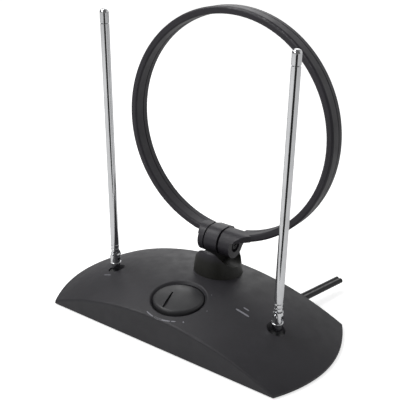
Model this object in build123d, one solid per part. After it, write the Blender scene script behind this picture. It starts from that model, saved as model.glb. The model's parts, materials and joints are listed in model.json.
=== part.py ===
from build123d import *
import math
import os

# Frame: origin at the middle of the footprint, on the surface the base stands on.
# +X runs along the base, -Y is the knob side, +Z is up.
# Shapes are drawn with the base's lower edge at z = 0 and lifted onto the rest pad when written.

# --- base ---
BASE_LENGTH = 250.0
BASE_DEPTH = 113.0
END_BULGE = 16.7  # how far the curved ends stand past the corners
CROWN = 33.2  # height of the dome in the middle
CROWN_DROP = 6.4  # how much lower the dome is at its front and back edges
END_EDGE = 2.0  # upright edge where the dome meets the ends
WALL = 2.3
END_WALL = 3.0
CREASE_RADIUS = 2.0
PLATE_THICKNESS = 2.0
PLATE_GAP = 0.25
PAD_THICKNESS = 1.2  # soft pad under the plate, which the base stands on
PAD_INSET = 8.0
PAD_HOLE_RADIUS = 4.2

# --- screws, sized as thread diameter and head ---
SCREW_D = 2.6
SCREW_HEAD_D = 5.4
SCREW_HEAD_H = 1.6
SCREW_GAP = 0.05  # radial gap between a screw and its hole
BASE_SCREW_X = 60.0
BASE_SCREW_Y = 40.0
SCREW_PAD_TOP = 4.5
SCREW_POST_RADIUS = 3.6

# --- tuning knob and switch ---
KNOB_X = 2.8
KNOB_Y = -27.2
KNOB_RADIUS = 20.75
KNOB_BOTTOM = 26.0
KNOB_EDGE_TOP = 31.2
KNOB_CROWN = 2.0
KNOB_RIM_RADIUS = 2.2
KNOB_WALL = 2.2
KNOB_HOLLOW_TOP = 29.4
KNOB_BOSS_RADIUS = 5.5
KNOB_TURN = 18.0  # degrees that the pointer groove stands off the depth axis at rest
GROOVE_X = -6.4
GROOVE_FRONT = (-16.4, 1.4)  # end of the groove and its half width there
GROOVE_BACK = (3.4, 0.7)
GROOVE_FLOOR = 30.4
RECESS_FLOOR = 25.4
RECESS_FLOOR_RADIUS = 21.4
RECESS_RIM_RADIUS = 24.3
RECESS_RIM_ROUND = 1.2
RECESS_SLOPE = 3.0  # depth of the slope below the dome's surface
CUP_THICKNESS = 2.1
SHAFT_RADIUS = 3.0
SHAFT_TOP = 31.0
SHAFT_FLAT = 2.2  # from the shaft's axis to its flat
RUNNING_GAP = 0.05
SWITCH_SIZE = 22.0

# --- circuit board and ballast ---
BOARD_X = 42.0
BOARD_FRONT = -46.0
BOARD_BACK = 10.0
BOARD_Z = 9.0
BOARD_THICKNESS = 1.6
LEAD_RADIUS = 0.7
BALLAST_X = 32.0
BALLAST_Y = 44.0
BALLAST_THICKNESS = 4.0
BALLAST_SCREW_Y = 38.0

# --- rod sockets and rods ---
SOCKET_X = 81.5
SOCKET_Y = -6.2
POCKET_DEPTH = 4.0
POCKET_FLOOR_RADIUS = 5.8
POCKET_RIM_RADIUS = 7.3
SOCKET_FLANGE = 0.8
SOCKET_BOSS_RADIUS = 10.0
BUSHING_RADIUS = 5.0
BUSHING_BOTTOM = 9.0
STEM_RADIUS = 2.6
PIVOT_ABOVE_SURFACE = 13.4
COLLAR_BELOW_PIVOT = 6.2
COLLAR_RADIUS = 4.7
COLLAR_THICKNESS = 1.2
FORK_RADIUS = 4.2
BLADE_THICKNESS = 3.0
TILT_PIN_RADIUS = 1.25
TUBE_START = 4.5  # tube's lower end above the tilt pin
CRIMPS = (7.5, 10.9)  # crimped rings above the tilt pin
TUBE_DIAMETERS = (7.0, 6.2, 5.4, 4.6, 3.8)
TUBE_WALL = 0.35
TUBE_TOP = {"left": 201.6, "right": 194.4}  # above the tilt pin
ROD_LEAN = {"left": 0.0, "right": 0.9}  # degrees outward at rest
TOP_STEP = 0.1  # each inner section stands this much higher
SECTION_START = 15.5
CAP_LENGTH = 10.8

# --- loop and its hinge ---
LOOP_RADIUS = 95.6
LOOP_RADIAL = 6.0
LOOP_WIDTH = 16.4
FRONT_SHELL_WIDTH = 10.2
LOOP_EDGE_RADIUS = 1.8
LOOP_WALL = 1.6
LOOP_LEAN = 3.5  # degrees back at rest
LOOP_CENTRE_Y = 45.8
LOOP_CENTRE_Z = 153.8
HINGE_Y = 31.0
HINGE_Z = 58.4
KNUCKLE_RADIUS = 11.5
LEFT_BARREL = (-12.0, -7.0)
CENTRE_BARREL = (-5.8, 6.6)
RIGHT_BARREL = (8.6, 18.9)
LEFT_REACH = 3.5  # how far the loop's shoulders run out past the barrels
RIGHT_REACH = 13.0
SHOULDER_BOTTOM = 64.3
BOLT_RADIUS = 2.0
BOLT_RECESS = (6.0, 3.0)  # radius and depth
NUT_ACROSS = 7.0
NUT_POCKET_DEPTH = 2.9
WASHER_RADIUS = 7.0
SIDE_REAR_TOP = 6.2  # height of the side barrels' webs at the loop's rear face
CENTRE_REAR_TOP = 7.6

# --- pedestal ---
PEDESTAL_X = 3.0
PEDESTAL_Y = 29.0
PEDESTAL_FOOT = (24.0, 21.9)  # height and radius
PEDESTAL_TOP = (56.0, 17.6)
PEDESTAL_ROUND = 4.0
SADDLE_RADIUS = 18.4  # about the hinge, clear of the loop's back corner
PEDESTAL_SCREW_X = 11.5
PEDESTAL_SCREW_TIP = 36.5
PEDESTAL_BOSS = 26.0  # underside of the cover's boss for the pedestal screws
LEAD_HOLE_RADIUS = 3.9
LEAD_TOP = 43.0

# --- cable ---
CABLE_X = 66.0
CABLE_Z = 9.0
CABLE_ANGLE = 15.0  # degrees from straight back towards +X
CABLE_LENGTH = 54.0
CABLE_CORE_RADIUS = 2.2
CABLE_PITCH = 3.9
CABLE_INSIDE = 9.0  # length of cable kept inside the back wall
OUTLET_WIDTH = 12.4
OUTLET_HEIGHT = 7.4


# ---------- small helpers ----------


def write(name, shape):
    """Lift a piece, or a group of separate solids, onto the rest pad and save it."""
    solids = [Pos(0, 0, PAD_THICKNESS) * solid for solid in shape.solids()]
    lifted = solids[0] if len(solids) == 1 else Compound(children=solids)
    export_step(lifted, "parts/" + name + ".step")


def rod_z(radius, low, high):
    """Upright cylinder between two heights."""
    return Pos(0, 0, (low + high) / 2) * Cylinder(radius, high - low)


def rod_x(radius, low, high):
    return Pos((low + high) / 2, 0, 0) * Rot(0, 90, 0) * Cylinder(radius, high - low)


def rod_y(radius, low, high):
    return Pos(0, (low + high) / 2, 0) * Rot(90, 0, 0) * Cylinder(radius, high - low)


def block(x, y, z):
    """Box from three (low, high) pairs."""
    size = [high - low for low, high in (x, y, z)]
    middle = [(high + low) / 2 for low, high in (x, y, z)]
    return Pos(*middle) * Box(*size)


def tube_z(outer, inner, low, high):
    return rod_z(outer, low, high) - rod_z(inner, low - 1, high + 1)


def together(shapes):
    """Several separate solids kept in one node."""
    return Compound([solid for shape in shapes for solid in shape.solids()])


def at_corners(x, y):
    return [(side_x * x, side_y * y) for side_x in (-1, 1) for side_y in (-1, 1)]


def wire(points, radius, bend):
    """Round wire along a bent path."""
    path = FilletPolyline(*points, radius=bend)
    start = Plane(origin=path @ 0, z_dir=path % 0)
    return sweep(start * Circle(radius), path=path)


def screw_up(head_bottom, tip, radius=SCREW_D / 2):
    """Screw pointing up, with its head's underside facing up."""
    head = rod_z(SCREW_HEAD_D / 2, head_bottom, head_bottom + SCREW_HEAD_H)
    slot = block((-4, 4), (-0.4, 0.4), (head_bottom - 1, head_bottom + 0.7))
    return head + rod_z(radius, head_bottom, tip) - slot


def screw_down(head_top, tip, radius=SCREW_D / 2):
    head = rod_z(SCREW_HEAD_D / 2, head_top - SCREW_HEAD_H, head_top)
    slot = block((-4, 4), (-0.4, 0.4), (head_top - 0.7, head_top + 1))
    return head + rod_z(radius, tip, head_top) - slot


# ---------- the dome ----------


def half_length(y):
    return BASE_LENGTH / 2 - END_BULGE * (2 * y / BASE_DEPTH) ** 2


def crown_height(y):
    return CROWN - CROWN_DROP * (2 * y / BASE_DEPTH) ** 2


def surface_height(x, y):
    """Height of the dome's outer surface."""
    span = half_length(y)
    rise = crown_height(y) - END_EDGE
    radius = (span**2 + rise**2) / (2 * rise)
    return END_EDGE + math.sqrt(radius**2 - x**2) - (radius - rise)


def dome_section(y, inset, end_inset, edge):
    span = half_length(y) - end_inset
    top = crown_height(y) - inset
    outline = [Line((-span, 0), (span, 0))]
    if edge > 0:
        outline.append(Line((span, 0), (span, edge)))
    outline.append(ThreePointArc((span, edge), (0, top), (-span, edge)))
    if edge > 0:
        outline.append(Line((-span, edge), (-span, 0)))
    return Plane.XZ.offset(-y) * make_face(outline)


def dome(inset=0.0, end_inset=0.0, edge=END_EDGE):
    """Solid dome: an arched section carried from the front edge to the back edge."""
    half_depth = BASE_DEPTH / 2 - inset
    stations = [half_depth * t for t in (-1, -0.5, 0, 0.5, 1)]
    return loft([dome_section(y, inset, end_inset, edge) for y in stations])


def soft_dome():
    """Dome with its long front and back creases rounded."""
    body = dome()
    creases = [
        edge
        for edge in body.edges()
        if abs(abs(edge.center().Y) - BASE_DEPTH / 2) < 0.1 and edge.center().Z > END_EDGE + 1
    ]
    return fillet(creases, CREASE_RADIUS)


def cable_plane(distance):
    """Plane across the cable, at a distance behind the base's back edge."""
    turn = math.radians(CABLE_ANGLE)
    back = (math.sin(turn), math.cos(turn), 0)
    across = (math.cos(turn), -math.sin(turn), 0)
    origin = (CABLE_X + back[0] * distance, BASE_DEPTH / 2 + back[1] * distance, CABLE_Z)
    return Plane(origin=origin, x_dir=across, z_dir=back)


# ---------- base pieces ----------

OUTER = soft_dome()
SURFACE = surface_height(SOCKET_X, SOCKET_Y)
POCKET_FLOOR = SURFACE - POCKET_DEPTH
PIVOT_Z = SURFACE + PIVOT_ABOVE_SURFACE
ABOVE = CROWN + 5  # any height clear above the dome
SCREW_HOLE = SCREW_D / 2 + SCREW_GAP
KNOB_AT = Pos(KNOB_X, KNOB_Y, 0)
BUSHING_THREAD_RADIUS = 3.5
BOARD_SCREWS = [(x, y) for x in (-38, 38) for y in (BOARD_FRONT + 4, BOARD_BACK - 4)]
PEDESTAL_SCREWS = [(PEDESTAL_X + side * PEDESTAL_SCREW_X, PEDESTAL_Y) for side in (-1, 1)]


def knob_recess():
    """Round seat for the knob, with a slope around it that is tilted to follow the dome."""
    flare = (RECESS_RIM_RADIUS - RECESS_FLOOR_RADIUS) / RECESS_SLOPE
    height = 2 * RECESS_SLOPE
    slope = Cone(RECESS_FLOOR_RADIUS, RECESS_FLOOR_RADIUS + flare * height, height)
    tilt = math.degrees(math.atan2(crown_height(KNOB_Y + 1) - crown_height(KNOB_Y - 1), 2))
    on_dome = Pos(0, 0, surface_height(KNOB_X, KNOB_Y)) * Rot(tilt, 0, 0)
    above_floor = rod_z(2 * KNOB_RADIUS, RECESS_FLOOR, ABOVE)
    return KNOB_AT * (rod_z(RECESS_FLOOR_RADIUS, RECESS_FLOOR, ABOVE) + (on_dome * slope & above_floor))


def rod_pocket():
    """Dished seat around a rod's foot, with the bushing hole below it."""
    height = ABOVE - POCKET_FLOOR
    flare = (POCKET_RIM_RADIUS - POCKET_FLOOR_RADIUS) * height / POCKET_DEPTH
    dish = Cone(POCKET_FLOOR_RADIUS, POCKET_FLOOR_RADIUS + flare, height)
    return Pos(0, 0, POCKET_FLOOR + height / 2) * dish + rod_z(BUSHING_RADIUS + RUNNING_GAP, 0, ABOVE)


def cover_bosses():
    """Thickened places inside the cover, before they are trimmed to the dome."""
    bosses = [KNOB_AT * rod_z(RECESS_RIM_RADIUS + 2, RECESS_FLOOR - CUP_THICKNESS, ABOVE)]
    for side in (-1, 1):
        bosses.append(Pos(side * SOCKET_X, SOCKET_Y, 0) * rod_z(SOCKET_BOSS_RADIUS, 12, ABOVE))
    for x, y in at_corners(BASE_SCREW_X, BASE_SCREW_Y):
        bosses.append(Pos(x, y, 0) * rod_z(SCREW_POST_RADIUS, SCREW_PAD_TOP + 0.1, ABOVE))
    boss = block((-16, 16), (-7, 7), (PEDESTAL_BOSS, ABOVE))
    bosses.append(Pos(PEDESTAL_X, PEDESTAL_Y, 0) * boss)
    return bosses


def dished_dome():
    """Outer dome with the knob's recess, its rim softened."""
    body = OUTER - knob_recess()
    rim = [
        edge
        for edge in body.edges()
        if edge.bounding_box().size.X > 2 * RECESS_RIM_RADIUS - 6
        and abs(edge.bounding_box().center().Y - KNOB_Y) < 3
        and edge.center().Z > RECESS_FLOOR + 1
    ]
    return fillet(rim, RECESS_RIM_ROUND)


def top_cover():
    outer = dished_dome()
    body = outer - dome(WALL, END_WALL, 0.0)
    for boss in cover_bosses():
        body += boss & outer
    body -= KNOB_AT * rod_z(BUSHING_THREAD_RADIUS + RUNNING_GAP, 0, ABOVE)
    for side in (-1, 1):
        body -= Pos(side * SOCKET_X, SOCKET_Y, 0) * rod_pocket()
    for x, y in at_corners(BASE_SCREW_X, BASE_SCREW_Y):
        body -= Pos(x, y, 0) * rod_z(SCREW_HOLE, 0, 16)
    for x, y in PEDESTAL_SCREWS:
        body -= Pos(x, y, 0) * rod_z(SCREW_D / 2 + 0.3, 0, ABOVE)
    body -= Pos(0, PEDESTAL_Y, 0) * rod_z(LEAD_HOLE_RADIUS + 0.1, 0, ABOVE)
    body -= Pos(CABLE_X, BASE_DEPTH / 2, CABLE_Z) * Box(OUTLET_WIDTH, 10, OUTLET_HEIGHT)
    return body


def bottom_plate():
    """Floor that fits up inside the cover, with screw pads and board standoffs."""
    inside = dome(WALL + PLATE_GAP, END_WALL + PLATE_GAP, 0.0)
    body = inside & block((-BASE_LENGTH, BASE_LENGTH), (-BASE_DEPTH, BASE_DEPTH), (0, PLATE_THICKNESS))
    for x, y in at_corners(BASE_SCREW_X, BASE_SCREW_Y):
        body += Pos(x, y, 0) * rod_z(4.5, 0, SCREW_PAD_TOP)
        body -= Pos(x, y, 0) * rod_z(SCREW_HEAD_D / 2 + 0.3, -1, 2.4)
        body -= Pos(x, y, 0) * rod_z(SCREW_HOLE, 0, 10)
    for x, y in BOARD_SCREWS:
        body += Pos(x, y, 0) * rod_z(3, 0, BOARD_Z - 0.05)
        body -= Pos(x, y, 0) * rod_z(SCREW_HOLE, 3, 10)
    for side in (-1, 1):
        body -= Pos(0, side * BALLAST_SCREW_Y, 0) * rod_z(SCREW_HOLE, -1, 10)
    return body


def rest_pad():
    """Thin soft pad glued under the plate, cut out around the screws."""
    inside = Pos(0, 0, -PAD_THICKNESS - 1) * dome(WALL + PAD_INSET, END_WALL + PAD_INSET, 0.0)
    slab = block((-BASE_LENGTH, BASE_LENGTH), (-BASE_DEPTH, BASE_DEPTH), (-PAD_THICKNESS, -0.02))
    pad = inside & slab
    for x, y in at_corners(BASE_SCREW_X, BASE_SCREW_Y):
        pad -= Pos(x, y, 0) * rod_z(PAD_HOLE_RADIUS, -5, 5)
    return pad


def bottom_screws():
    places = at_corners(BASE_SCREW_X, BASE_SCREW_Y)
    return together([Pos(x, y, 0) * screw_up(0.75, 14) for x, y in places])


def ballast_plate():
    low = PLATE_THICKNESS + 0.05
    body = block((-BALLAST_X, BALLAST_X), (-BALLAST_Y, BALLAST_Y), (low, low + BALLAST_THICKNESS))
    body = chamfer(body.edges().filter_by(Axis.Z), 3)
    for side in (-1, 1):
        body -= Pos(0, side * BALLAST_SCREW_Y, 0) * rod_z(SCREW_D / 2 + 0.3, 0, 10)
    return body


def ballast_screws():
    top = PLATE_THICKNESS + BALLAST_THICKNESS + 0.1 + SCREW_HEAD_H
    return together([Pos(0, side * BALLAST_SCREW_Y, 0) * screw_down(top, 0.3) for side in (-1, 1)])


def circuit_board():
    body = block((-BOARD_X, BOARD_X), (BOARD_FRONT, BOARD_BACK), (BOARD_Z, BOARD_Z + BOARD_THICKNESS))
    for x, y in BOARD_SCREWS:
        body -= Pos(x, y, 0) * rod_z(SCREW_D / 2 + 0.2, 0, 20)
    return body


def board_screws():
    top = BOARD_Z + BOARD_THICKNESS + 0.05 + SCREW_HEAD_H
    return together([Pos(x, y, 0) * screw_down(top, 4) for x, y in BOARD_SCREWS])


# ---------- tuning switch and knob ----------

BOARD_TOP = BOARD_Z + BOARD_THICKNESS + 0.05
SWITCH_TOP = 18.0
THREAD_TOP = RECESS_FLOOR + 3.0


def switch_body():
    half = SWITCH_SIZE / 2
    body = block((-half, half), (-half, half), (BOARD_TOP, SWITCH_TOP))
    body = chamfer(body.edges().filter_by(Axis.Z), 2)
    body += rod_z(BUSHING_THREAD_RADIUS, SWITCH_TOP, THREAD_TOP)
    body -= rod_z(9.0, 12.2, 16.6)
    body -= rod_z(SHAFT_RADIUS + RUNNING_GAP, 12.2, ABOVE)
    return KNOB_AT * body


def switch_nut():
    nut = extrude(RegularPolygon(5.5, 6), 2.0) - rod_z(BUSHING_THREAD_RADIUS + RUNNING_GAP, -1, 5)
    return KNOB_AT * Pos(0, 0, RECESS_FLOOR + 0.05) * nut


def switch_shaft():
    """Shaft with its wiper disc and a flat for the knob."""
    flat = block((-5, 5), (SHAFT_FLAT, 5), (THREAD_TOP + 0.2, ABOVE))
    shaft = rod_z(SHAFT_RADIUS, 12.5, SHAFT_TOP) + rod_z(8.5, 13.5, 15.0) - flat
    return KNOB_AT * Rot(0, 0, KNOB_TURN) * shaft


def pointer_groove():
    """Tapered groove beside the middle of the knob, wider at the front."""
    front, front_half = GROOVE_FRONT
    back, back_half = GROOVE_BACK
    outline = Polyline(
        (-front_half, front),
        (front_half, front),
        (back_half, back),
        (-back_half, back),
        close=True,
    )
    groove = extrude(make_face(outline), ABOVE - GROOVE_FLOOR)
    groove += Pos(0, front, 0) * rod_z(front_half, 0, ABOVE - GROOVE_FLOOR)
    groove += Pos(0, back, 0) * rod_z(back_half, 0, ABOVE - GROOVE_FLOOR)
    return Pos(GROOVE_X, 0, GROOVE_FLOOR) * groove


def knob_blank():
    """Round knob with a low crown and a softened rim, turned from one profile."""
    top = KNOB_EDGE_TOP + KNOB_CROWN
    rim = (KNOB_RADIUS, KNOB_EDGE_TOP)
    radius = (KNOB_RADIUS**2 + KNOB_CROWN**2) / (2 * KNOB_CROWN)
    outline = [
        Line((0, top), (0, KNOB_BOTTOM)),
        Line((0, KNOB_BOTTOM), (KNOB_RADIUS, KNOB_BOTTOM)),
        Line((KNOB_RADIUS, KNOB_BOTTOM), rim),
        RadiusArc(rim, (0, top), -radius),
    ]
    profile = make_face(outline)
    profile = fillet(profile.vertices().group_by(Axis.X)[-1].sort_by(Axis.Y)[-1], KNOB_RIM_RADIUS)
    return revolve(Plane.XZ * profile, Axis.Z)


def tuning_knob():
    body = knob_blank()
    body -= rod_z(KNOB_RADIUS - KNOB_WALL, KNOB_BOTTOM - 1, KNOB_HOLLOW_TOP)
    body += rod_z(KNOB_BOSS_RADIUS, THREAD_TOP + 0.3, KNOB_HOLLOW_TOP + 0.5)
    bore = rod_z(SHAFT_RADIUS + 0.02, KNOB_BOTTOM - 1, SHAFT_TOP + 0.05)
    bore -= block((-5, 5), (SHAFT_FLAT + 0.04, 5), (THREAD_TOP + 0.1, ABOVE))
    body -= bore + pointer_groove()
    return KNOB_AT * Rot(0, 0, KNOB_TURN) * body


# ---------- small board parts ----------

BALUN_AT = Pos(26, -2, BOARD_TOP + 1.2)


def balun_core():
    return BALUN_AT * tube_z(6.5, 3.0, 0, 5)


def balun_winding():
    turn = Box(5.3, 0.8, 6.8) - Box(3.8, 2, 5.2)
    turn = Pos(4.75, 0, 2.5) * turn
    return together([BALUN_AT * Rot(0, 0, angle) * turn for angle in range(0, 360, 45)])


def tuning_coils():
    coil = Rot(0, 90, 0) * tube_z(3.0, 2.2, -4, 4)
    return together([Pos(-28, y, BOARD_TOP + 3.2) * coil for y in (-34, -24, -14)])


def tuning_capacitors():
    body = Rot(0, 90, 0) * rod_z(2.6, -1, 1)
    return together([Pos(22 + step * 5, -36, BOARD_TOP + 2.8) * body for step in range(4)])


def rod_leads():
    """Wires from the socket contacts to the board."""
    start = SOCKET_X - 9.0
    end = BOARD_X - 3
    points = [(start, 9.9), (start - 10, 14), (end + 5, 14), (end, 11.5)]
    points = [(x, SOCKET_Y, z) for x, z in points]
    lead = wire(points, LEAD_RADIUS, 1.5)
    return together([lead, mirror(lead, Plane.YZ)])


def loop_leads():
    """Wires from the board up through the pedestal."""
    leads = []
    for x in (-2, 2):
        points = [(3, BOARD_TOP + 1), (8, BOARD_TOP + 8)]
        points += [(PEDESTAL_Y, BOARD_TOP + 12), (PEDESTAL_Y, LEAD_TOP)]
        leads.append(wire([(x, y, z) for y, z in points], LEAD_RADIUS, 2.5))
    return together(leads)


# ---------- cable ----------


def cable_outline(gap):
    """Figure-of-eight section of the twin cable."""
    radius = CABLE_CORE_RADIUS + gap
    cores = [Pos(side * CABLE_PITCH / 2, 0) * Circle(radius) for side in (-1, 1)]
    return cores[0] + cores[1] + Rectangle(CABLE_PITCH, radius * 1.5)


def cable_jacket():
    body = extrude(cable_plane(-CABLE_INSIDE) * cable_outline(0), CABLE_LENGTH + CABLE_INSIDE)
    for side in (-1, 1):
        bore = cable_plane(-CABLE_INSIDE - 1) * Pos(side * CABLE_PITCH / 2, 0) * Circle(0.6)
        body -= extrude(bore, CABLE_LENGTH + CABLE_INSIDE + 2)
    return body


def cable_conductors():
    cores = []
    for side in (-1, 1):
        core = cable_plane(-CABLE_INSIDE - 2) * Pos(side * CABLE_PITCH / 2, 0) * Circle(0.55)
        cores.append(extrude(core, CABLE_LENGTH + CABLE_INSIDE + 2))
    return together(cores)


def strain_relief():
    edge = BASE_DEPTH / 2
    wide = OUTLET_WIDTH / 2
    tall = OUTLET_HEIGHT / 2
    body = block((0.1 - wide, wide - 0.1), (edge - 6, edge + 0.05), (0.1 - tall, tall - 0.1))
    body += block((-wide - 1, wide + 1), (edge + 0.05, edge + 1.3), (-tall - 1, tall + 1))
    body = Pos(CABLE_X, 0, CABLE_Z) * body
    return body - extrude(cable_plane(-10) * cable_outline(0.05), 20)


# ---------- rod sockets and rods ----------


def at_socket(side, shape):
    return Pos(side * SOCKET_X, SOCKET_Y, 0) * shape


def at_pivot(side, lean, shape):
    """Place a rod piece, drawn from its tilt pin upward, with its rest lean."""
    return Pos(side * SOCKET_X, SOCKET_Y, PIVOT_Z) * Rot(0, side * lean, 0) * shape


def socket():
    low = POCKET_FLOOR + 0.02
    body = rod_z(POCKET_FLOOR_RADIUS - 0.2, low, low + SOCKET_FLANGE)
    body += rod_z(BUSHING_RADIUS, BUSHING_BOTTOM, low + SOCKET_FLANGE)
    return body - rod_z(STEM_RADIUS + RUNNING_GAP, 0, ABOVE)


def contact(side):
    """Fixed ring lug with a tail towards the board."""
    low = BUSHING_BOTTOM - 0.55
    ring = rod_z(4.8, low, low + 0.5)
    ring += block((-11, 0), (-1.4, 1.4), (low, low + 0.5))
    ring -= rod_z(STEM_RADIUS + RUNNING_GAP, 0, 20)
    return Rot(0, 0, 0 if side > 0 else 180) * ring


def swivel_post():
    """Stem, long tapered collar and slotted fork."""
    taper_low = POCKET_FLOOR + SOCKET_FLANGE + 0.1
    collar_top = PIVOT_Z - COLLAR_BELOW_PIVOT
    collar_low = collar_top - COLLAR_THICKNESS
    stem = rod_z(STEM_RADIUS, 7.5, taper_low + 0.5)
    taper = Cone(STEM_RADIUS + 0.1, FORK_RADIUS, collar_low - taper_low)
    taper = Pos(0, 0, (taper_low + collar_low) / 2) * taper
    collar = rod_z(COLLAR_RADIUS, collar_low, collar_top)
    collar = fillet(collar.edges(), COLLAR_THICKNESS / 3)
    head = rod_z(FORK_RADIUS, collar_top - 0.5, PIVOT_Z + FORK_RADIUS)
    round_top = Pos(0, 0, PIVOT_Z) * rod_y(FORK_RADIUS, -6, 6) + block((-6, 6), (-6, 6), (0, PIVOT_Z))
    body = stem + taper + collar + (head & round_top)
    half_slot = BLADE_THICKNESS / 2 + RUNNING_GAP
    body -= block((-9, 9), (-half_slot, half_slot), (PIVOT_Z - 4.4, PIVOT_Z + 9))
    body -= Pos(0, 0, PIVOT_Z) * rod_y(TILT_PIN_RADIUS + 0.02, -9, 9)
    return body - rod_z(1.5, 0, 14)


def spring_washer():
    return tube_z(5.0, STEM_RADIUS + 0.1, 7.55, 8.35)


def retaining_screw():
    return rod_z(4.6, 5.6, 7.45) + rod_z(1.45, 5.6, 13.5) - block((-6, 6), (-0.5, 0.5), (5, 6.4))


def tilt_pin():
    """Rivet across the fork, headed at both ends."""
    length = FORK_RADIUS + 0.1
    pin = rod_y(TILT_PIN_RADIUS, -length, length)
    head = rod_y(2.0, length, length + 0.9)
    return Pos(0, 0, PIVOT_Z) * (pin + head + mirror(head, Plane.XZ))


def knuckle_blade():
    """Flat tongue in the fork, growing into a round plug inside the tube."""
    half = BLADE_THICKNESS / 2
    plug_radius = TUBE_DIAMETERS[0] / 2 - TUBE_WALL - 0.02
    body = rod_y(4.0, -half, half) + block((-3.1, 3.1), (-half, half), (0, TUBE_START))
    body += rod_z(plug_radius, TUBE_START - 0.2, SECTION_START - 0.5)
    return body - rod_y(TILT_PIN_RADIUS + RUNNING_GAP, -5, 5)


def outer_tube(top):
    """Largest tube with two crimped rings over the plug."""
    radius = TUBE_DIAMETERS[0] / 2
    body = tube_z(radius, radius - TUBE_WALL, TUBE_START + 0.05, top)
    for height in CRIMPS:
        body -= Pos(0, 0, height) * Torus(radius + 0.35, 0.6)
    return body


def inner_section(index, top):
    radius = TUBE_DIAMETERS[index] / 2
    return tube_z(radius, radius - TUBE_WALL, SECTION_START + 0.3 * index, top + TOP_STEP * index)


def tip_cap(top):
    """Cap as wide as the largest tube, fixed on the thinnest section."""
    low = top + TOP_STEP * (len(TUBE_DIAMETERS) - 1) + 0.05
    radius = TUBE_DIAMETERS[0] / 2
    cap = rod_z(radius, low, low + CAP_LENGTH)
    cap = fillet(cap.edges().group_by(Axis.Z)[-1], radius - 0.7)
    cap = chamfer(cap.edges().group_by(Axis.Z)[0], 0.25)
    plug = rod_z(TUBE_DIAMETERS[-1] / 2 - TUBE_WALL - 0.05, low - 8, low + 0.5)
    return cap + plug


def write_rod(side, name):
    top = TUBE_TOP[name]
    lean = ROD_LEAN[name]
    write(name + "_socket", at_socket(side, socket()))
    write(name + "_contact", at_socket(side, contact(side)))
    write(name + "_swivel_post", at_socket(side, swivel_post()))
    write(name + "_spring_washer", at_socket(side, spring_washer()))
    write(name + "_retaining_screw", at_socket(side, retaining_screw()))
    write(name + "_tilt_pin", at_socket(side, tilt_pin()))
    write(name + "_knuckle_blade", at_pivot(side, lean, knuckle_blade()))
    write(name + "_outer_tube", at_pivot(side, lean, outer_tube(top)))
    for index in range(1, len(TUBE_DIAMETERS)):
        write(name + "_section_" + str(index + 1), at_pivot(side, lean, inner_section(index, top)))
    write(name + "_tip_cap", at_pivot(side, lean, tip_cap(top)))


# ---------- loop and hinge ----------

LOOP_PLANE = Plane(
    origin=(0, LOOP_CENTRE_Y, LOOP_CENTRE_Z),
    x_dir=(1, 0, 0),
    z_dir=(0, -math.cos(math.radians(LOOP_LEAN)), math.sin(math.radians(LOOP_LEAN))),
)
LOOP_FRONT = LOOP_WIDTH / 2
SEAM = LOOP_FRONT - FRONT_SHELL_WIDTH
LOOP_INNER = LOOP_RADIUS - LOOP_RADIAL
CHANNEL = (LOOP_INNER + LOOP_WALL, LOOP_RADIUS - LOOP_WALL)
AT_HINGE = Pos(0, HINGE_Y, HINGE_Z)
FAR = 30.0  # any length clear past the hinge


def flat_ring(inner, outer, low, high):
    """Ring about the loop's axis, in the loop's own frame."""
    return tube_z(outer, inner, low, high)


def placed_ring(ring, gap):
    """Set a ring into the loop's plane and open it over a (low, high) gap in X."""
    opening = block(gap, (-LOOP_RADIUS - 5, -LOOP_RADIUS / 2), (-20, 20))
    return LOOP_PLANE.location * (ring - opening)


def knuckle(span, rear_top):
    """Hinge barrel over a (low, high) span, with a web back to the loop's rear face."""
    lean = math.radians(LOOP_LEAN)
    rear = LOOP_CENTRE_Y - LOOP_RADIUS * math.sin(lean) + LOOP_WIDTH / 2 - HINGE_Y
    corner = 1.5
    web = Polyline(
        (0, KNUCKLE_RADIUS),
        (7.0, KNUCKLE_RADIUS - 0.4),
        (rear - corner, rear_top),
        (rear, rear_top - corner),
        (rear, 0.4),
        (4.0, -KNUCKLE_RADIUS + 1),
        close=True,
    )
    low, high = span
    profile = Plane.YZ.offset(low) * make_face(web)
    return AT_HINGE * (extrude(profile, high - low) + rod_x(KNUCKLE_RADIUS, low, high))


def shoulder(inner_x, barrel_end, reach):
    """Part of the loop's front that flares out over a side barrel."""
    tip = barrel_end + reach
    front = LOOP_CENTRE_Y - LOOP_RADIUS * math.sin(math.radians(LOOP_LEAN)) - LOOP_WIDTH / 2
    plan = Polyline(
        (inner_x, HINGE_Y - KNUCKLE_RADIUS - 1),
        (barrel_end, HINGE_Y - KNUCKLE_RADIUS - 1),
        (tip, front + 0.4),
        (tip, front + 3),
        (barrel_end, front + 9),
        (inner_x, front + 9),
        close=True,
    )
    plan = Pos(0, 0, SHOULDER_BOTTOM) * make_face(plan)
    bar = knuckle((-FAR - 5, FAR + 5), SIDE_REAR_TOP)
    return extrude(plan, FAR) & bar


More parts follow.
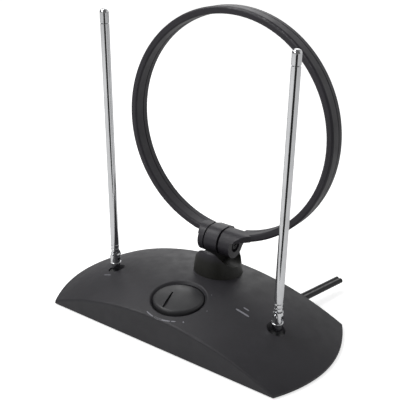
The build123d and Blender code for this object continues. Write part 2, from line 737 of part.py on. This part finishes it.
def loop_front_shell():
    ring = flat_ring(LOOP_INNER, LOOP_RADIUS, SEAM + 0.2, LOOP_FRONT)
    ring = fillet(ring.edges().group_by(Axis.Z)[-1], LOOP_EDGE_RADIUS)
    ring = chamfer(ring.edges().group_by(Axis.Z)[0], 0.5)
    gap = (LEFT_BARREL[1], RIGHT_BARREL[0])
    body = placed_ring(ring, gap)
    body += shoulder(LEFT_BARREL[1], LEFT_BARREL[0], -LEFT_REACH)
    body += shoulder(RIGHT_BARREL[0], RIGHT_BARREL[1], RIGHT_REACH)
    body -= LOOP_PLANE.location * flat_ring(CHANNEL[0], CHANNEL[1], SEAM - 1, LOOP_FRONT - LOOP_WALL)
    body += knuckle(LEFT_BARREL, SIDE_REAR_TOP) + knuckle(RIGHT_BARREL, SIDE_REAR_TOP)
    body -= AT_HINGE * rod_x(BOLT_RADIUS + RUNNING_GAP, -FAR, FAR)
    recess_radius, recess_depth = BOLT_RECESS
    body -= AT_HINGE * rod_x(recess_radius, RIGHT_BARREL[1] - recess_depth, FAR)
    body -= AT_HINGE * hex_nut(NUT_ACROSS + 0.15, -FAR, LEFT_BARREL[0] + NUT_POCKET_DEPTH)
    return body


def loop_rear_shell():
    ring = flat_ring(LOOP_INNER, LOOP_RADIUS, -LOOP_FRONT, SEAM)
    ring = fillet(ring.edges().group_by(Axis.Z)[0], LOOP_EDGE_RADIUS)
    ring = chamfer(ring.edges().group_by(Axis.Z)[-1], 0.5)
    ring += flat_ring(CHANNEL[0] + 0.1, CHANNEL[1] - 0.1, SEAM - 0.5, SEAM + 2)
    return placed_ring(ring, (LEFT_BARREL[0] - 0.15, RIGHT_BARREL[1] + 0.15))


def loop_conductor():
    middle = (CHANNEL[0] + CHANNEL[1]) / 2
    ring = flat_ring(middle - 0.9, middle + 0.9, SEAM + 3, LOOP_FRONT - 2)
    return placed_ring(ring, (LEFT_BARREL[0] - 0.5, RIGHT_BARREL[1] + 0.5))


def hex_nut(across_flats, low, high):
    outline = RegularPolygon(across_flats / 2, 6, major_radius=False)
    return extrude(Plane.YZ.offset(low) * outline, high - low)


def hinge_bolt():
    seat = RIGHT_BARREL[1] - BOLT_RECESS[1] + 0.05
    head = rod_x(3.7, seat, seat + 2.3)
    cross = Box(2.0, 0.9, 5.0) + Box(2.0, 5.0, 0.9)
    head -= Pos(seat + 2.3, 0, 0) * cross
    return AT_HINGE * (head + rod_x(BOLT_RADIUS, LEFT_BARREL[0] + 0.6, seat + 0.5))


def hinge_nut():
    seat = LEFT_BARREL[0] + NUT_POCKET_DEPTH - 0.05
    nut = hex_nut(NUT_ACROSS, seat - 2.5, seat)
    return AT_HINGE * (nut - rod_x(BOLT_RADIUS + 0.01, -FAR, 0))


def hinge_washers():
    washers = rod_x(WASHER_RADIUS, LEFT_BARREL[1] + 0.1, CENTRE_BARREL[0] - 0.1)
    washers += rod_x(WASHER_RADIUS, CENTRE_BARREL[1] + 0.1, RIGHT_BARREL[0] - 0.1)
    return together([AT_HINGE * (washers - rod_x(BOLT_RADIUS + RUNNING_GAP, -FAR, FAR))])


# ---------- pedestal ----------


def pedestal_cone():
    low, low_radius = PEDESTAL_FOOT
    high, high_radius = PEDESTAL_TOP
    cone = Pos(0, 0, (low + high) / 2) * Cone(low_radius, high_radius, high - low)
    cone = fillet(cone.edges().group_by(Axis.Z)[-1], PEDESTAL_ROUND)
    return Pos(PEDESTAL_X, PEDESTAL_Y, 0) * cone


def pedestal():
    """Round foot with a saddle that clears the loop, and the middle hinge barrel."""
    body = pedestal_cone() - Pos(0, 0, 0.05) * OUTER
    body -= AT_HINGE * rod_x(SADDLE_RADIUS, -FAR, FAR)
    strut = block(CENTRE_BARREL, (HINGE_Y - 8, HINGE_Y + 9), (LEAD_TOP - 5, HINGE_Z))
    body += strut + knuckle(CENTRE_BARREL, CENTRE_REAR_TOP)
    body -= AT_HINGE * rod_x(BOLT_RADIUS + RUNNING_GAP, -FAR, FAR)
    body -= Pos(0, PEDESTAL_Y, 0) * rod_z(LEAD_HOLE_RADIUS, 0, LEAD_TOP + 1)
    for x, y in PEDESTAL_SCREWS:
        body -= Pos(x, y, 0) * rod_z(SCREW_HOLE, 0, PEDESTAL_SCREW_TIP + 0.5)
    return body


def pedestal_screws():
    screw = screw_up(PEDESTAL_BOSS - 0.05 - SCREW_HEAD_H, PEDESTAL_SCREW_TIP)
    return together([Pos(x, y, 0) * screw for x, y in PEDESTAL_SCREWS])


SINGLE_PIECES = (
    top_cover,
    bottom_plate,
    rest_pad,
    bottom_screws,
    ballast_plate,
    ballast_screws,
    circuit_board,
    board_screws,
    switch_body,
    switch_nut,
    switch_shaft,
    tuning_knob,
    balun_core,
    balun_winding,
    tuning_coils,
    tuning_capacitors,
    rod_leads,
    loop_leads,
    cable_jacket,
    cable_conductors,
    strain_relief,
    loop_front_shell,
    loop_rear_shell,
    loop_conductor,
    hinge_bolt,
    hinge_nut,
    hinge_washers,
    pedestal,
    pedestal_screws,
)

os.makedirs("parts", exist_ok=True)
for piece in SINGLE_PIECES:
    write(piece.__name__, piece())
write_rod(-1, "left")
write_rod(1, "right")
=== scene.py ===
import json
import math

import bpy
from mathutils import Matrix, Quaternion, Vector
from mathutils.bvhtree import BVHTree


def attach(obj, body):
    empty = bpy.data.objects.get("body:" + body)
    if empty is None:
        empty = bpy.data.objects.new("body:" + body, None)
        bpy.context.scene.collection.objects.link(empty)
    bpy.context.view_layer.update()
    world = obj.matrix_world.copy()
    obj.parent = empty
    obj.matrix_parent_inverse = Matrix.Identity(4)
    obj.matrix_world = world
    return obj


# Looks of a set-top antenna: a domed base with a tuning knob, two telescopic rods and a tilting loop.
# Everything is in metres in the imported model's frame; lengths named in millimetres are multiplied by MM.

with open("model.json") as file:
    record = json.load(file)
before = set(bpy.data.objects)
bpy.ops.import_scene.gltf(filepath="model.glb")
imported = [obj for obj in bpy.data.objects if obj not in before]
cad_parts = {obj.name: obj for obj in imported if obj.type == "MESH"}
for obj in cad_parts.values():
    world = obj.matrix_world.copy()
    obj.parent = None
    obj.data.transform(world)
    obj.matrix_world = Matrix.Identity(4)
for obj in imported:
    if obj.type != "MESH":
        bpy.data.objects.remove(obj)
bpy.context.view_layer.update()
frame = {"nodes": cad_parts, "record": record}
nodes = frame["nodes"]
MM = 0.001


# ---------- colours and node graphs ----------


def srgb(red, green, blue):
    """Linear colour from the 0 to 255 values a screen would show."""
    linear = []
    for value in (red, green, blue):
        share = value / 255
        linear.append(share / 12.92 if share <= 0.04045 else ((share + 0.055) / 1.055) ** 2.4)
    return tuple(linear)


def shade(colour, factor):
    return (*[min(1.0, part * factor) for part in colour], 1.0)


class Nodes:
    """Short ways to add and join shader nodes."""

    def __init__(self, tree):
        self.tree = tree

    def put(self, socket, value):
        if isinstance(value, bpy.types.NodeSocket):
            self.tree.links.new(value, socket)
        else:
            socket.default_value = value

    def add(self, kind, inputs, **settings):
        node = self.tree.nodes.new(kind)
        for name, value in settings.items():
            setattr(node, name, value)
        for name, value in inputs.items():
            self.put(node.inputs[name], value)
        return node

    def remap(self, value, low, high, to_low=0.0, to_high=1.0):
        inputs = {"Value": value, "From Min": low, "From Max": high, "To Min": to_low, "To Max": to_high}
        return self.add("ShaderNodeMapRange", inputs).outputs["Result"]

    def maths(self, operation, first, second):
        """First and second joined by a sum, a difference or a product."""
        node = self.tree.nodes.new("ShaderNodeMath")
        node.operation = operation
        self.put(node.inputs[0], first)
        self.put(node.inputs[1], second)
        return node.outputs[0]

    def mix(self, share, first, second):
        """Blend of two colours."""
        node = self.tree.nodes.new("ShaderNodeMix")
        node.data_type = "RGBA"
        self.put(node.inputs[0], share)
        self.put(node.inputs[6], first)
        self.put(node.inputs[7], second)
        return node.outputs[2]

    def blend(self, share, first, second):
        """Blend of two plain numbers."""
        node = self.tree.nodes.new("ShaderNodeMix")
        self.put(node.inputs[0], share)
        self.put(node.inputs[2], first)
        self.put(node.inputs[3], second)
        return node.outputs[0]

    def dot(self, first, second):
        node = self.tree.nodes.new("ShaderNodeVectorMath")
        node.operation = "DOT_PRODUCT"
        self.put(node.inputs[0], first)
        self.put(node.inputs[1], second)
        return node.outputs["Value"]

    def ray_kind(self, name):
        return self.tree.nodes.new("ShaderNodeLightPath").outputs[name]


class Graph(Nodes):
    """The node graph of one material, with lengths in millimetres."""

    def __init__(self, name):
        self.material = bpy.data.materials.new(name)
        self.material.use_nodes = True
        super().__init__(self.material.node_tree)
        self.surface = self.tree.nodes["Principled BSDF"]
        self.place = self.tree.nodes.new("ShaderNodeTexCoord").outputs["Object"]
        self.normal = self.tree.nodes.new("ShaderNodeNewGeometry").outputs["Normal"]

    def noise(self, size, detail=2.0, stretch=(1, 1, 1)):
        """Smooth noise with features about this size; stretch lengthens them along an axis."""
        scale = [1 / (size * MM * part) for part in stretch]
        mapped = self.add("ShaderNodeMapping", {"Vector": self.place, "Scale": scale})
        node = self.add(
            "ShaderNodeTexNoise", {"Vector": mapped.outputs[0], "Scale": 1.0, "Detail": detail}
        )
        return node.outputs["Fac"]

    def edges(self, radius):
        """1 on sharp outer and inner edges, fading to 0 within the radius, broken up by noise."""
        soft = self.add("ShaderNodeBevel", {"Radius": radius * MM}, samples=4).outputs[0]
        bent = self.remap(self.dot(soft, self.normal), 0.75, 0.99, 1.0, 0.0)
        return self.maths("MULTIPLY", bent, self.remap(self.noise(3.0, 4.0), 0.35, 0.65))

    def bump(self, height, depth, under=None):
        inputs = {"Height": height, "Distance": depth * MM, "Strength": 1.0}
        if under is not None:
            inputs["Normal"] = under
        return self.add("ShaderNodeBump", inputs).outputs[0]

    def finish(self, colour, roughness, normal, metallic=0.0):
        self.put(self.surface.inputs["Base Color"], colour)
        self.put(self.surface.inputs["Roughness"], roughness)
        self.put(self.surface.inputs["Normal"], normal)
        self.put(self.surface.inputs["Metallic"], metallic)
        return self.material


# ---------- materials ----------


def moulded_plastic(name, colour, roughness, grain=0.5, grain_depth=0.02, wear=0.3, painted_lit_top=None):
    """Injection-moulded shell: spark-eroded grain, faint flow patches and paler rubbed edges.

    The last argument is (colour, low, high) and paints light and shade: the shell keeps its darker colour
    below the low height, as painted shade, and blends into that lighter colour by the high height, as
    painted light.
    """
    graph = Graph(name)
    patches = graph.remap(graph.noise(38.0, 4.0), 0.3, 0.7)
    base = graph.mix(patches, shade(colour, 0.86), shade(colour, 1.14))
    # Painted shade and light: darker low down, lighter higher up, by height alone.
    if painted_lit_top:
        lit_top_colour, low, high = painted_lit_top
        height = graph.add("ShaderNodeSeparateXYZ", {"Vector": graph.place}).outputs["Z"]
        lit_top_share = graph.remap(height, low * MM, high * MM)
        base = graph.mix(lit_top_share, base, shade(lit_top_colour, 1.0))
    specks = graph.remap(graph.noise(0.7, 1.0), 0.55, 0.8, 0.0, 0.35)
    base = graph.mix(specks, base, shade(colour, 1.7))
    worn = graph.edges(0.6)
    base = graph.mix(graph.maths("MULTIPLY", worn, wear), base, shade(colour, 3.0))
    rough = graph.remap(graph.noise(9.0, 5.0), 0.25, 0.75, roughness - 0.07, roughness + 0.07)
    rough = graph.maths("SUBTRACT", rough, graph.maths("MULTIPLY", worn, 0.12))
    waves = graph.bump(graph.noise(45.0, 1.0), 0.12)
    normal = graph.bump(graph.noise(grain, 2.0), grain_depth, waves)
    return graph.finish(base, rough, normal)


def plated_metal(name, colour, roughness, streak=(1, 1, 1), scratch_depth=0.002):
    """Polished or plated metal with drawing marks, smudges and slightly dulled edges."""
    graph = Graph(name)
    smudges = graph.remap(graph.noise(14.0, 5.0), 0.35, 0.7)
    base = graph.mix(smudges, shade(colour, 1.0), shade(colour, 0.9))
    worn = graph.edges(0.25)
    base = graph.mix(graph.maths("MULTIPLY", worn, 0.4), base, shade(colour, 0.75))
    marks = graph.noise(0.35, 3.0, streak)
    rough = graph.remap(marks, 0.3, 0.75, roughness * 0.7, roughness * 1.3)
    rough = graph.maths("ADD", rough, graph.maths("MULTIPLY", smudges, roughness * 0.5))
    normal = graph.bump(marks, scratch_depth)
    return graph.finish(base, rough, normal, 1.0)


def rubber(name, colour):
    graph = Graph(name)
    dust = graph.remap(graph.noise(5.0, 5.0), 0.45, 0.75, 0.0, 0.5)
    base = graph.mix(dust, shade(colour, 0.9), shade(colour, 2.2))
    base = graph.mix(graph.maths("MULTIPLY", graph.edges(0.4), 0.3), base, shade(colour, 3.0))
    rough = graph.remap(graph.noise(2.0, 3.0), 0.3, 0.7, 0.75, 0.92)
    return graph.finish(base, rough, graph.bump(graph.noise(0.6, 3.0), 0.04))


def laminate(name, colour):
    """Paper laminate board with a faint woven look and darker drilled edges."""
    graph = Graph(name)
    warp = graph.noise(0.5, 2.0, (14, 1, 1))
    weft = graph.noise(0.5, 2.0, (1, 14, 1))
    weave = graph.maths("MULTIPLY", warp, weft)
    base = graph.mix(graph.remap(weave, 0.15, 0.4), shade(colour, 0.8), shade(colour, 1.2))
    base = graph.mix(graph.maths("MULTIPLY", graph.edges(0.4), 0.5), base, shade(colour, 0.5))
    rough = graph.remap(graph.noise(6.0, 3.0), 0.3, 0.7, 0.3, 0.45)
    return graph.finish(base, rough, graph.bump(weave, 0.03))


def ceramic(name, colour, roughness, speck):
    """Dipped or sintered body with fine specks."""
    graph = Graph(name)
    specks = graph.remap(graph.noise(speck, 2.0), 0.5, 0.75)
    base = graph.mix(specks, shade(colour, 0.9), shade(colour, 1.35))
    base = graph.mix(graph.maths("MULTIPLY", graph.edges(0.3), 0.35), base, shade(colour, 1.8))
    rough = graph.remap(graph.noise(3.0, 3.0), 0.3, 0.7, roughness - 0.08, roughness + 0.08)
    return graph.finish(base, rough, graph.bump(graph.noise(speck, 3.0), 0.015))


def drawn_sheath(name, colour, roughness, streak):
    """Extruded insulation with faint lines along the pull."""
    graph = Graph(name)
    lines = graph.noise(0.4, 2.0, streak)
    base = graph.mix(graph.remap(lines, 0.3, 0.7), shade(colour, 0.85), shade(colour, 1.25))
    scuffs = graph.remap(graph.noise(7.0, 6.0), 0.58, 0.75, 0.0, 0.4)
    base = graph.mix(scuffs, base, shade(colour, 2.4))
    base = graph.mix(graph.maths("MULTIPLY", graph.edges(0.3), 0.3), base, shade(colour, 2.5))
    rough = graph.remap(graph.noise(4.0, 4.0), 0.3, 0.7, roughness - 0.06, roughness + 0.08)
    return graph.finish(base, rough, graph.bump(lines, 0.008))


def printed_ink(name, colour):
    """Pad-printed ink that lets a little of the grain through."""
    graph = Graph(name)
    thin = graph.remap(graph.noise(0.5, 3.0), 0.45, 0.8, 0.0, 0.5)
    base = graph.mix(thin, shade(colour, 1.0), shade(colour, 0.6))
    rough = graph.remap(graph.noise(1.0, 2.0), 0.3, 0.7, 0.5, 0.65)
    return graph.finish(base, rough, graph.bump(graph.noise(0.5, 2.0), 0.01))


CHARCOAL = srgb(44, 43, 47)
ALONG_ROD = (1, 1, 30)
ALONG_CABLE = (1, 20, 1)

SLOT_MATERIALS = {
    "cover_plastic": moulded_plastic("cover_plastic", CHARCOAL, 0.5),
    "loop_plastic": moulded_plastic("loop_plastic", srgb(46, 44, 50), 0.46),
    # The pedestal's darker colour is painted shade, and it blends up into a lighter colour near the hinge
    # barrel as painted light.
    "pedestal_plastic": moulded_plastic(
        "pedestal_plastic", srgb(34, 34, 30), 0.45, painted_lit_top=(srgb(50, 48, 54), 47.0, 53.0)
    ),
    "knob_plastic": moulded_plastic("knob_plastic", srgb(46, 46, 48), 0.42, 0.4, 0.012),
    "plate_plastic": moulded_plastic("plate_plastic", srgb(38, 38, 40), 0.6, 0.8, 0.03),
    "socket_plastic": moulded_plastic("socket_plastic", srgb(24, 24, 26), 0.5),
    "switch_plastic": moulded_plastic("switch_plastic", srgb(40, 40, 42), 0.5),
    "washer_plastic": moulded_plastic("washer_plastic", srgb(20, 20, 21), 0.45),
    "pad_foam": rubber("pad_foam", srgb(30, 30, 30)),
    "rod_chrome": plated_metal("rod_chrome", srgb(232, 233, 235), 0.09, ALONG_ROD, 0.0015),
    "screw_steel": plated_metal("screw_steel", srgb(195, 196, 198), 0.28),
    "ballast_steel": plated_metal("ballast_steel", srgb(150, 150, 152), 0.42, (12, 1, 1), 0.004),
    "plated_brass": plated_metal("plated_brass", srgb(214, 202, 160), 0.25),
    "copper_wire": plated_metal("copper_wire", srgb(196, 118, 70), 0.3),
    "bolt_black": plated_metal("bolt_black", srgb(58, 58, 60), 0.4),
    "loop_aluminium": plated_metal("loop_aluminium", srgb(205, 206, 208), 0.3, (8, 1, 1)),
    "board_laminate": laminate("board_laminate", srgb(150, 118, 62)),
    "ferrite": ceramic("ferrite", srgb(60, 61, 63), 0.6, 0.5),
    "capacitor_ceramic": ceramic("capacitor_ceramic", srgb(190, 120, 52), 0.35, 0.9),
    "lead_insulation": drawn_sheath("lead_insulation", srgb(165, 40, 34), 0.4, (20, 1, 1)),
    "cable_plastic": drawn_sheath("cable_plastic", srgb(28, 28, 30), 0.38, ALONG_CABLE),
}
INK = printed_ink("printed_ink", srgb(136, 136, 143))


def paint(piece, material):
    if not piece.material_slots:
        piece.data.materials.append(material)
    for place in piece.material_slots:
        place.material = material


for part in frame["record"]["subparts"]:
    paint(nodes[part["node"]], SLOT_MATERIALS[part["material_slot"]])


# ---------- printed marks on the cover ----------

INK_HEIGHT = 0.05
TAPERED_END = 0.55  # width of a strip's ends, as a share of its full width
ABOVE_ALL = 0.1  # a height above the cover, in metres, from which to look down on it
DOWN = Vector((0, 0, -1))
cover = nodes["top_cover"]
COVER_TREE = BVHTree.FromPolygons(
    [cover.matrix_world @ vertex.co for vertex in cover.data.vertices],
    [list(face.vertices) for face in cover.data.polygons],
)


def on_cover(x, y, lift):
    """Point on the cover's top at x, y in millimetres, raised by lift along its normal."""
    spot, normal, _, _ = COVER_TREE.ray_cast(Vector((x * MM, y * MM, ABOVE_ALL)), DOWN)
    return spot + normal * lift * MM


def strip_section(path, index, width):
    """Four corners of a strip's cross-section at one point of its path."""
    last = len(path) - 1
    here, before, after = path[index], path[max(index - 1, 0)], path[min(index + 1, last)]
    along = Vector((after[0] - before[0], after[1] - before[1])).normalized()
    taper = TAPERED_END if index in (0, last) else 1.0
    aside = Vector((-along.y, along.x)) * width / 2 * taper
    left = (here[0] + aside.x, here[1] + aside.y)
    right = (here[0] - aside.x, here[1] - aside.y)
    lifted = ((left, INK_HEIGHT), (right, INK_HEIGHT), (right, -INK_HEIGHT), (left, -INK_HEIGHT))
    return [on_cover(*spot, lift) for spot, lift in lifted]


def strip_faces(sections):
    """Faces of a closed strip through this many four-cornered sections."""
    faces = [(0, 1, 2, 3)]
    for low in range(0, 4 * (sections - 1), 4):
        for corner in range(4):
            after = (corner + 1) % 4
            faces.append((low + corner, low + 4 + corner, low + 4 + after, low + after))
    last = 4 * (sections - 1)
    faces.append((last + 3, last + 2, last + 1, last))
    return faces


def printed_line(name, path, width):
    """Thin raised strip of ink that follows the cover along a path."""
    points = [point for index in range(len(path)) for point in strip_section(path, index, width)]
    mesh = bpy.data.meshes.new(name)
    mesh.from_pydata(points, [], strip_faces(len(path)))
    mesh.materials.append(INK)
    piece = bpy.data.objects.new(name, mesh)
    bpy.context.scene.collection.objects.link(piece)
    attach(piece, "base")


ARC_STEP = 2  # degrees between the points of an arc
FEWEST_ARC_STEPS = 3
LINE_STEPS = 6


def arc_path(centre, radius, start, end):
    """Points along an arc, with angles in degrees from -Y towards +X."""
    steps = max(FEWEST_ARC_STEPS, int(abs(end - start) / ARC_STEP))
    path = []
    for step in range(steps + 1):
        angle = math.radians(start + (end - start) * (step / steps))
        path.append((centre[0] + radius * math.sin(angle), centre[1] - radius * math.cos(angle)))
    return path


def straight_path(start, end):
    shares = [step / LINE_STEPS for step in range(LINE_STEPS + 1)]
    return [tuple(Vector(start).lerp(Vector(end), share)) for share in shares]


KNOB_CENTRE = (2.8, -27.2)
SCALE_ARCS = (
    # start and end in degrees, radius and width in millimetres
    (-25, -8.5, 28.3, 0.9),
    (-5, 22.5, 28.2, 1.2),
    (24.5, 31.5, 28.2, 1.1),
    (42.4, 44.6, 29.4, 1.5),
    (87, 88.6, 28.3, 0.8),
    (130, 132, 26.6, 0.6),
)
for number, (start, end, radius, width) in enumerate(SCALE_ARCS, 1):
    printed_line(f"dial_scale_{number}", arc_path(KNOB_CENTRE, radius, start, end), width)
STRAIGHT_MARKS = (
    # name, start, end, width, in millimetres
    ("band_line", (46.9, -11.1), (59.2, -11.4), 1.7),
    ("band_tick", (50.6, -5.4), (55.6, -5.6), 1.3),
    ("level_mark", (-84.0, -19.0), (-76.5, -19.0), 1.0),
)
for name, start, end, width in STRAIGHT_MARKS:
    printed_line(name, straight_path(start, end), width)


# ---------- studio ----------

FLOOR_SIZE = 14.0
FLOOR_GAP = 0.0002
FLOOR_GLOW_SEEN = 0.64  # added where the camera looks at the floor itself
FLOOR_GLOW_MIRRORED = 0.3  # added where a glossy piece reflects it
CARD_LIFT = 0.001
CARD_ROWS = ((0.16, 0.035), (0.45, 0.19), (2.4, 0.95))  # distance from the middle and half width
SHEEN_SIDE = Vector((0.3, 0.9, 0.3)).normalized()  # towards the bright side in reflections


def studio_floor():
    """Pale floor that looks evenly lit to the camera and softer in the piece's reflections."""
    graph = Graph("studio_floor")
    camera = graph.ray_kind("Is Camera Ray")
    glossy = graph.ray_kind("Is Glossy Ray")
    tone = graph.remap(graph.noise(600.0, 2.0), 0.3, 0.7, 0.87, 0.9)
    share = graph.remap(camera, 0.0, 1.0, 0.5, 1.0)
    colour = graph.mix(graph.maths("MULTIPLY", tone, share), (0, 0, 0, 1), (1, 1, 1, 1))
    material = graph.finish(colour, 0.9, graph.bump(graph.noise(3.0, 2.0), 0.02))
    seen = graph.maths("MULTIPLY", camera, FLOOR_GLOW_SEEN)
    mirrored = graph.maths("MULTIPLY", glossy, FLOOR_GLOW_MIRRORED)
    glow = graph.maths("ADD", seen, mirrored)
    graph.put(graph.surface.inputs["Emission Color"], (1.0, 1.0, 1.0, 1.0))
    graph.put(graph.surface.inputs["Emission Strength"], glow)
    bpy.ops.mesh.primitive_plane_add(size=FLOOR_SIZE, location=(0, 0, -FLOOR_GAP))
    floor = bpy.context.object
    floor.name = "studio_floor"
    floor.data.materials.append(material)


def dark_card():
    """Dark card lying in front of the camera side, seen only in the chrome."""
    graph = Graph("dark_card")
    tone = graph.mix(graph.noise(80.0, 2.0), (0.003, 0.003, 0.003, 1), (0.008, 0.008, 0.008, 1))
    material = graph.finish(tone, 0.9, graph.normal)
    ahead = Vector((math.sin(CAMERA_AZIMUTH), -math.cos(CAMERA_AZIMUTH), 0))
    aside = Vector((math.cos(CAMERA_AZIMUTH), math.sin(CAMERA_AZIMUTH), 0))
    lift = Vector((0, 0, CARD_LIFT))
    points = []
    for reach, half in CARD_ROWS:
        points += [ahead * reach - aside * half + lift, ahead * reach + aside * half + lift]
    mesh = bpy.data.meshes.new("dark_card")
    mesh.from_pydata(points, [], [(0, 1, 3, 2), (2, 3, 5, 4)])
    mesh.materials.append(material)
    card = bpy.data.objects.new("dark_card", mesh)
    bpy.context.scene.collection.objects.link(card)
    card.visible_camera = False
    card.visible_diffuse = False
    card.visible_shadow = False


def studio_world(seen, around, sheen):
    """White to the camera, dimmer as light, with a bright low band at the back for reflections.

    sheen is the strength away from the band and in it.
    """
    world = bpy.data.worlds.new("studio")
    world.use_nodes = True
    bpy.context.scene.world = world
    graph = Nodes(world.node_tree)
    direction = graph.tree.nodes.new("ShaderNodeTexCoord").outputs["Generated"]
    parts = graph.add("ShaderNodeSeparateXYZ", {"Vector": direction}).outputs
    behind = graph.remap(graph.dot(direction, SHEEN_SIDE), 0.42, 0.62)
    low = graph.remap(parts["Z"], 0.4, 0.85, 1.0, 0.2)
    left = graph.remap(parts["X"], -0.4, -0.1, 1.0, 0.3)
    band = graph.maths("MULTIPLY", behind, graph.maths("MULTIPLY", low, left))
    glow = graph.remap(band, 0.0, 1.0, *sheen)
    strength = graph.blend(graph.ray_kind("Is Glossy Ray"), around, glow)
    strength = graph.blend(graph.ray_kind("Is Camera Ray"), strength, seen)
    background = graph.tree.nodes["Background"]
    background.inputs["Color"].default_value = (1.0, 1.0, 1.0, 1.0)
    graph.put(background.inputs["Strength"], strength)


LIGHT_AIM = Vector((0, 0, 0.05))


def soft_light(name, place, width, power):
    """Square area light that faces the middle of the object."""
    data = bpy.data.lights.new(name, "AREA")
    data.shape = "RECTANGLE"
    data.size = data.size_y = width
    data.energy = power
    light = bpy.data.objects.new(name, data)
    light.location = place
    light.rotation_mode = "QUATERNION"
    light.rotation_quaternion = (LIGHT_AIM - Vector(place)).to_track_quat("-Z", "Y")
    bpy.context.scene.collection.objects.link(light)


# Where the camera stands, seen from the point it looks at.
CAMERA_AIM = Vector((4.08, 0.0, 108.45)) * MM
CAMERA_AZIMUTH = math.radians(34.88)
CAMERA_ELEVATION = math.radians(24.74)
CAMERA_DISTANCE = 595.87 * MM
CAMERA_ROLL = math.radians(0.36)
CAMERA_LENS = 68.49


def main_camera():
    data = bpy.data.cameras.new("main_camera")
    data.lens = CAMERA_LENS
    data.clip_start = 0.02
    camera = bpy.data.objects.new("main_camera", data)
    flat = math.cos(CAMERA_ELEVATION)
    back = Vector(
        (
            math.sin(CAMERA_AZIMUTH) * flat,
            -math.cos(CAMERA_AZIMUTH) * flat,
            math.sin(CAMERA_ELEVATION),
        )
    )
    camera.location = CAMERA_AIM + back * CAMERA_DISTANCE
    camera.rotation_mode = "QUATERNION"
    level = (-back).to_track_quat("-Z", "Y")
    camera.rotation_quaternion = level @ Quaternion((0, 0, 1), CAMERA_ROLL)
    bpy.context.scene.collection.objects.link(camera)
    bpy.context.scene.camera = camera


studio_floor()
dark_card()
studio_world(seen=1.05, around=0.38, sheen=(0.12, 1.9))
soft_light("key_light", (-0.62, -0.08, 1.05), width=0.7, power=6.6)
soft_light("front_light", (-0.35, -1.0, 0.8), width=0.5, power=3.6)
main_camera()
bpy.context.scene.view_settings.view_transform = "Standard"
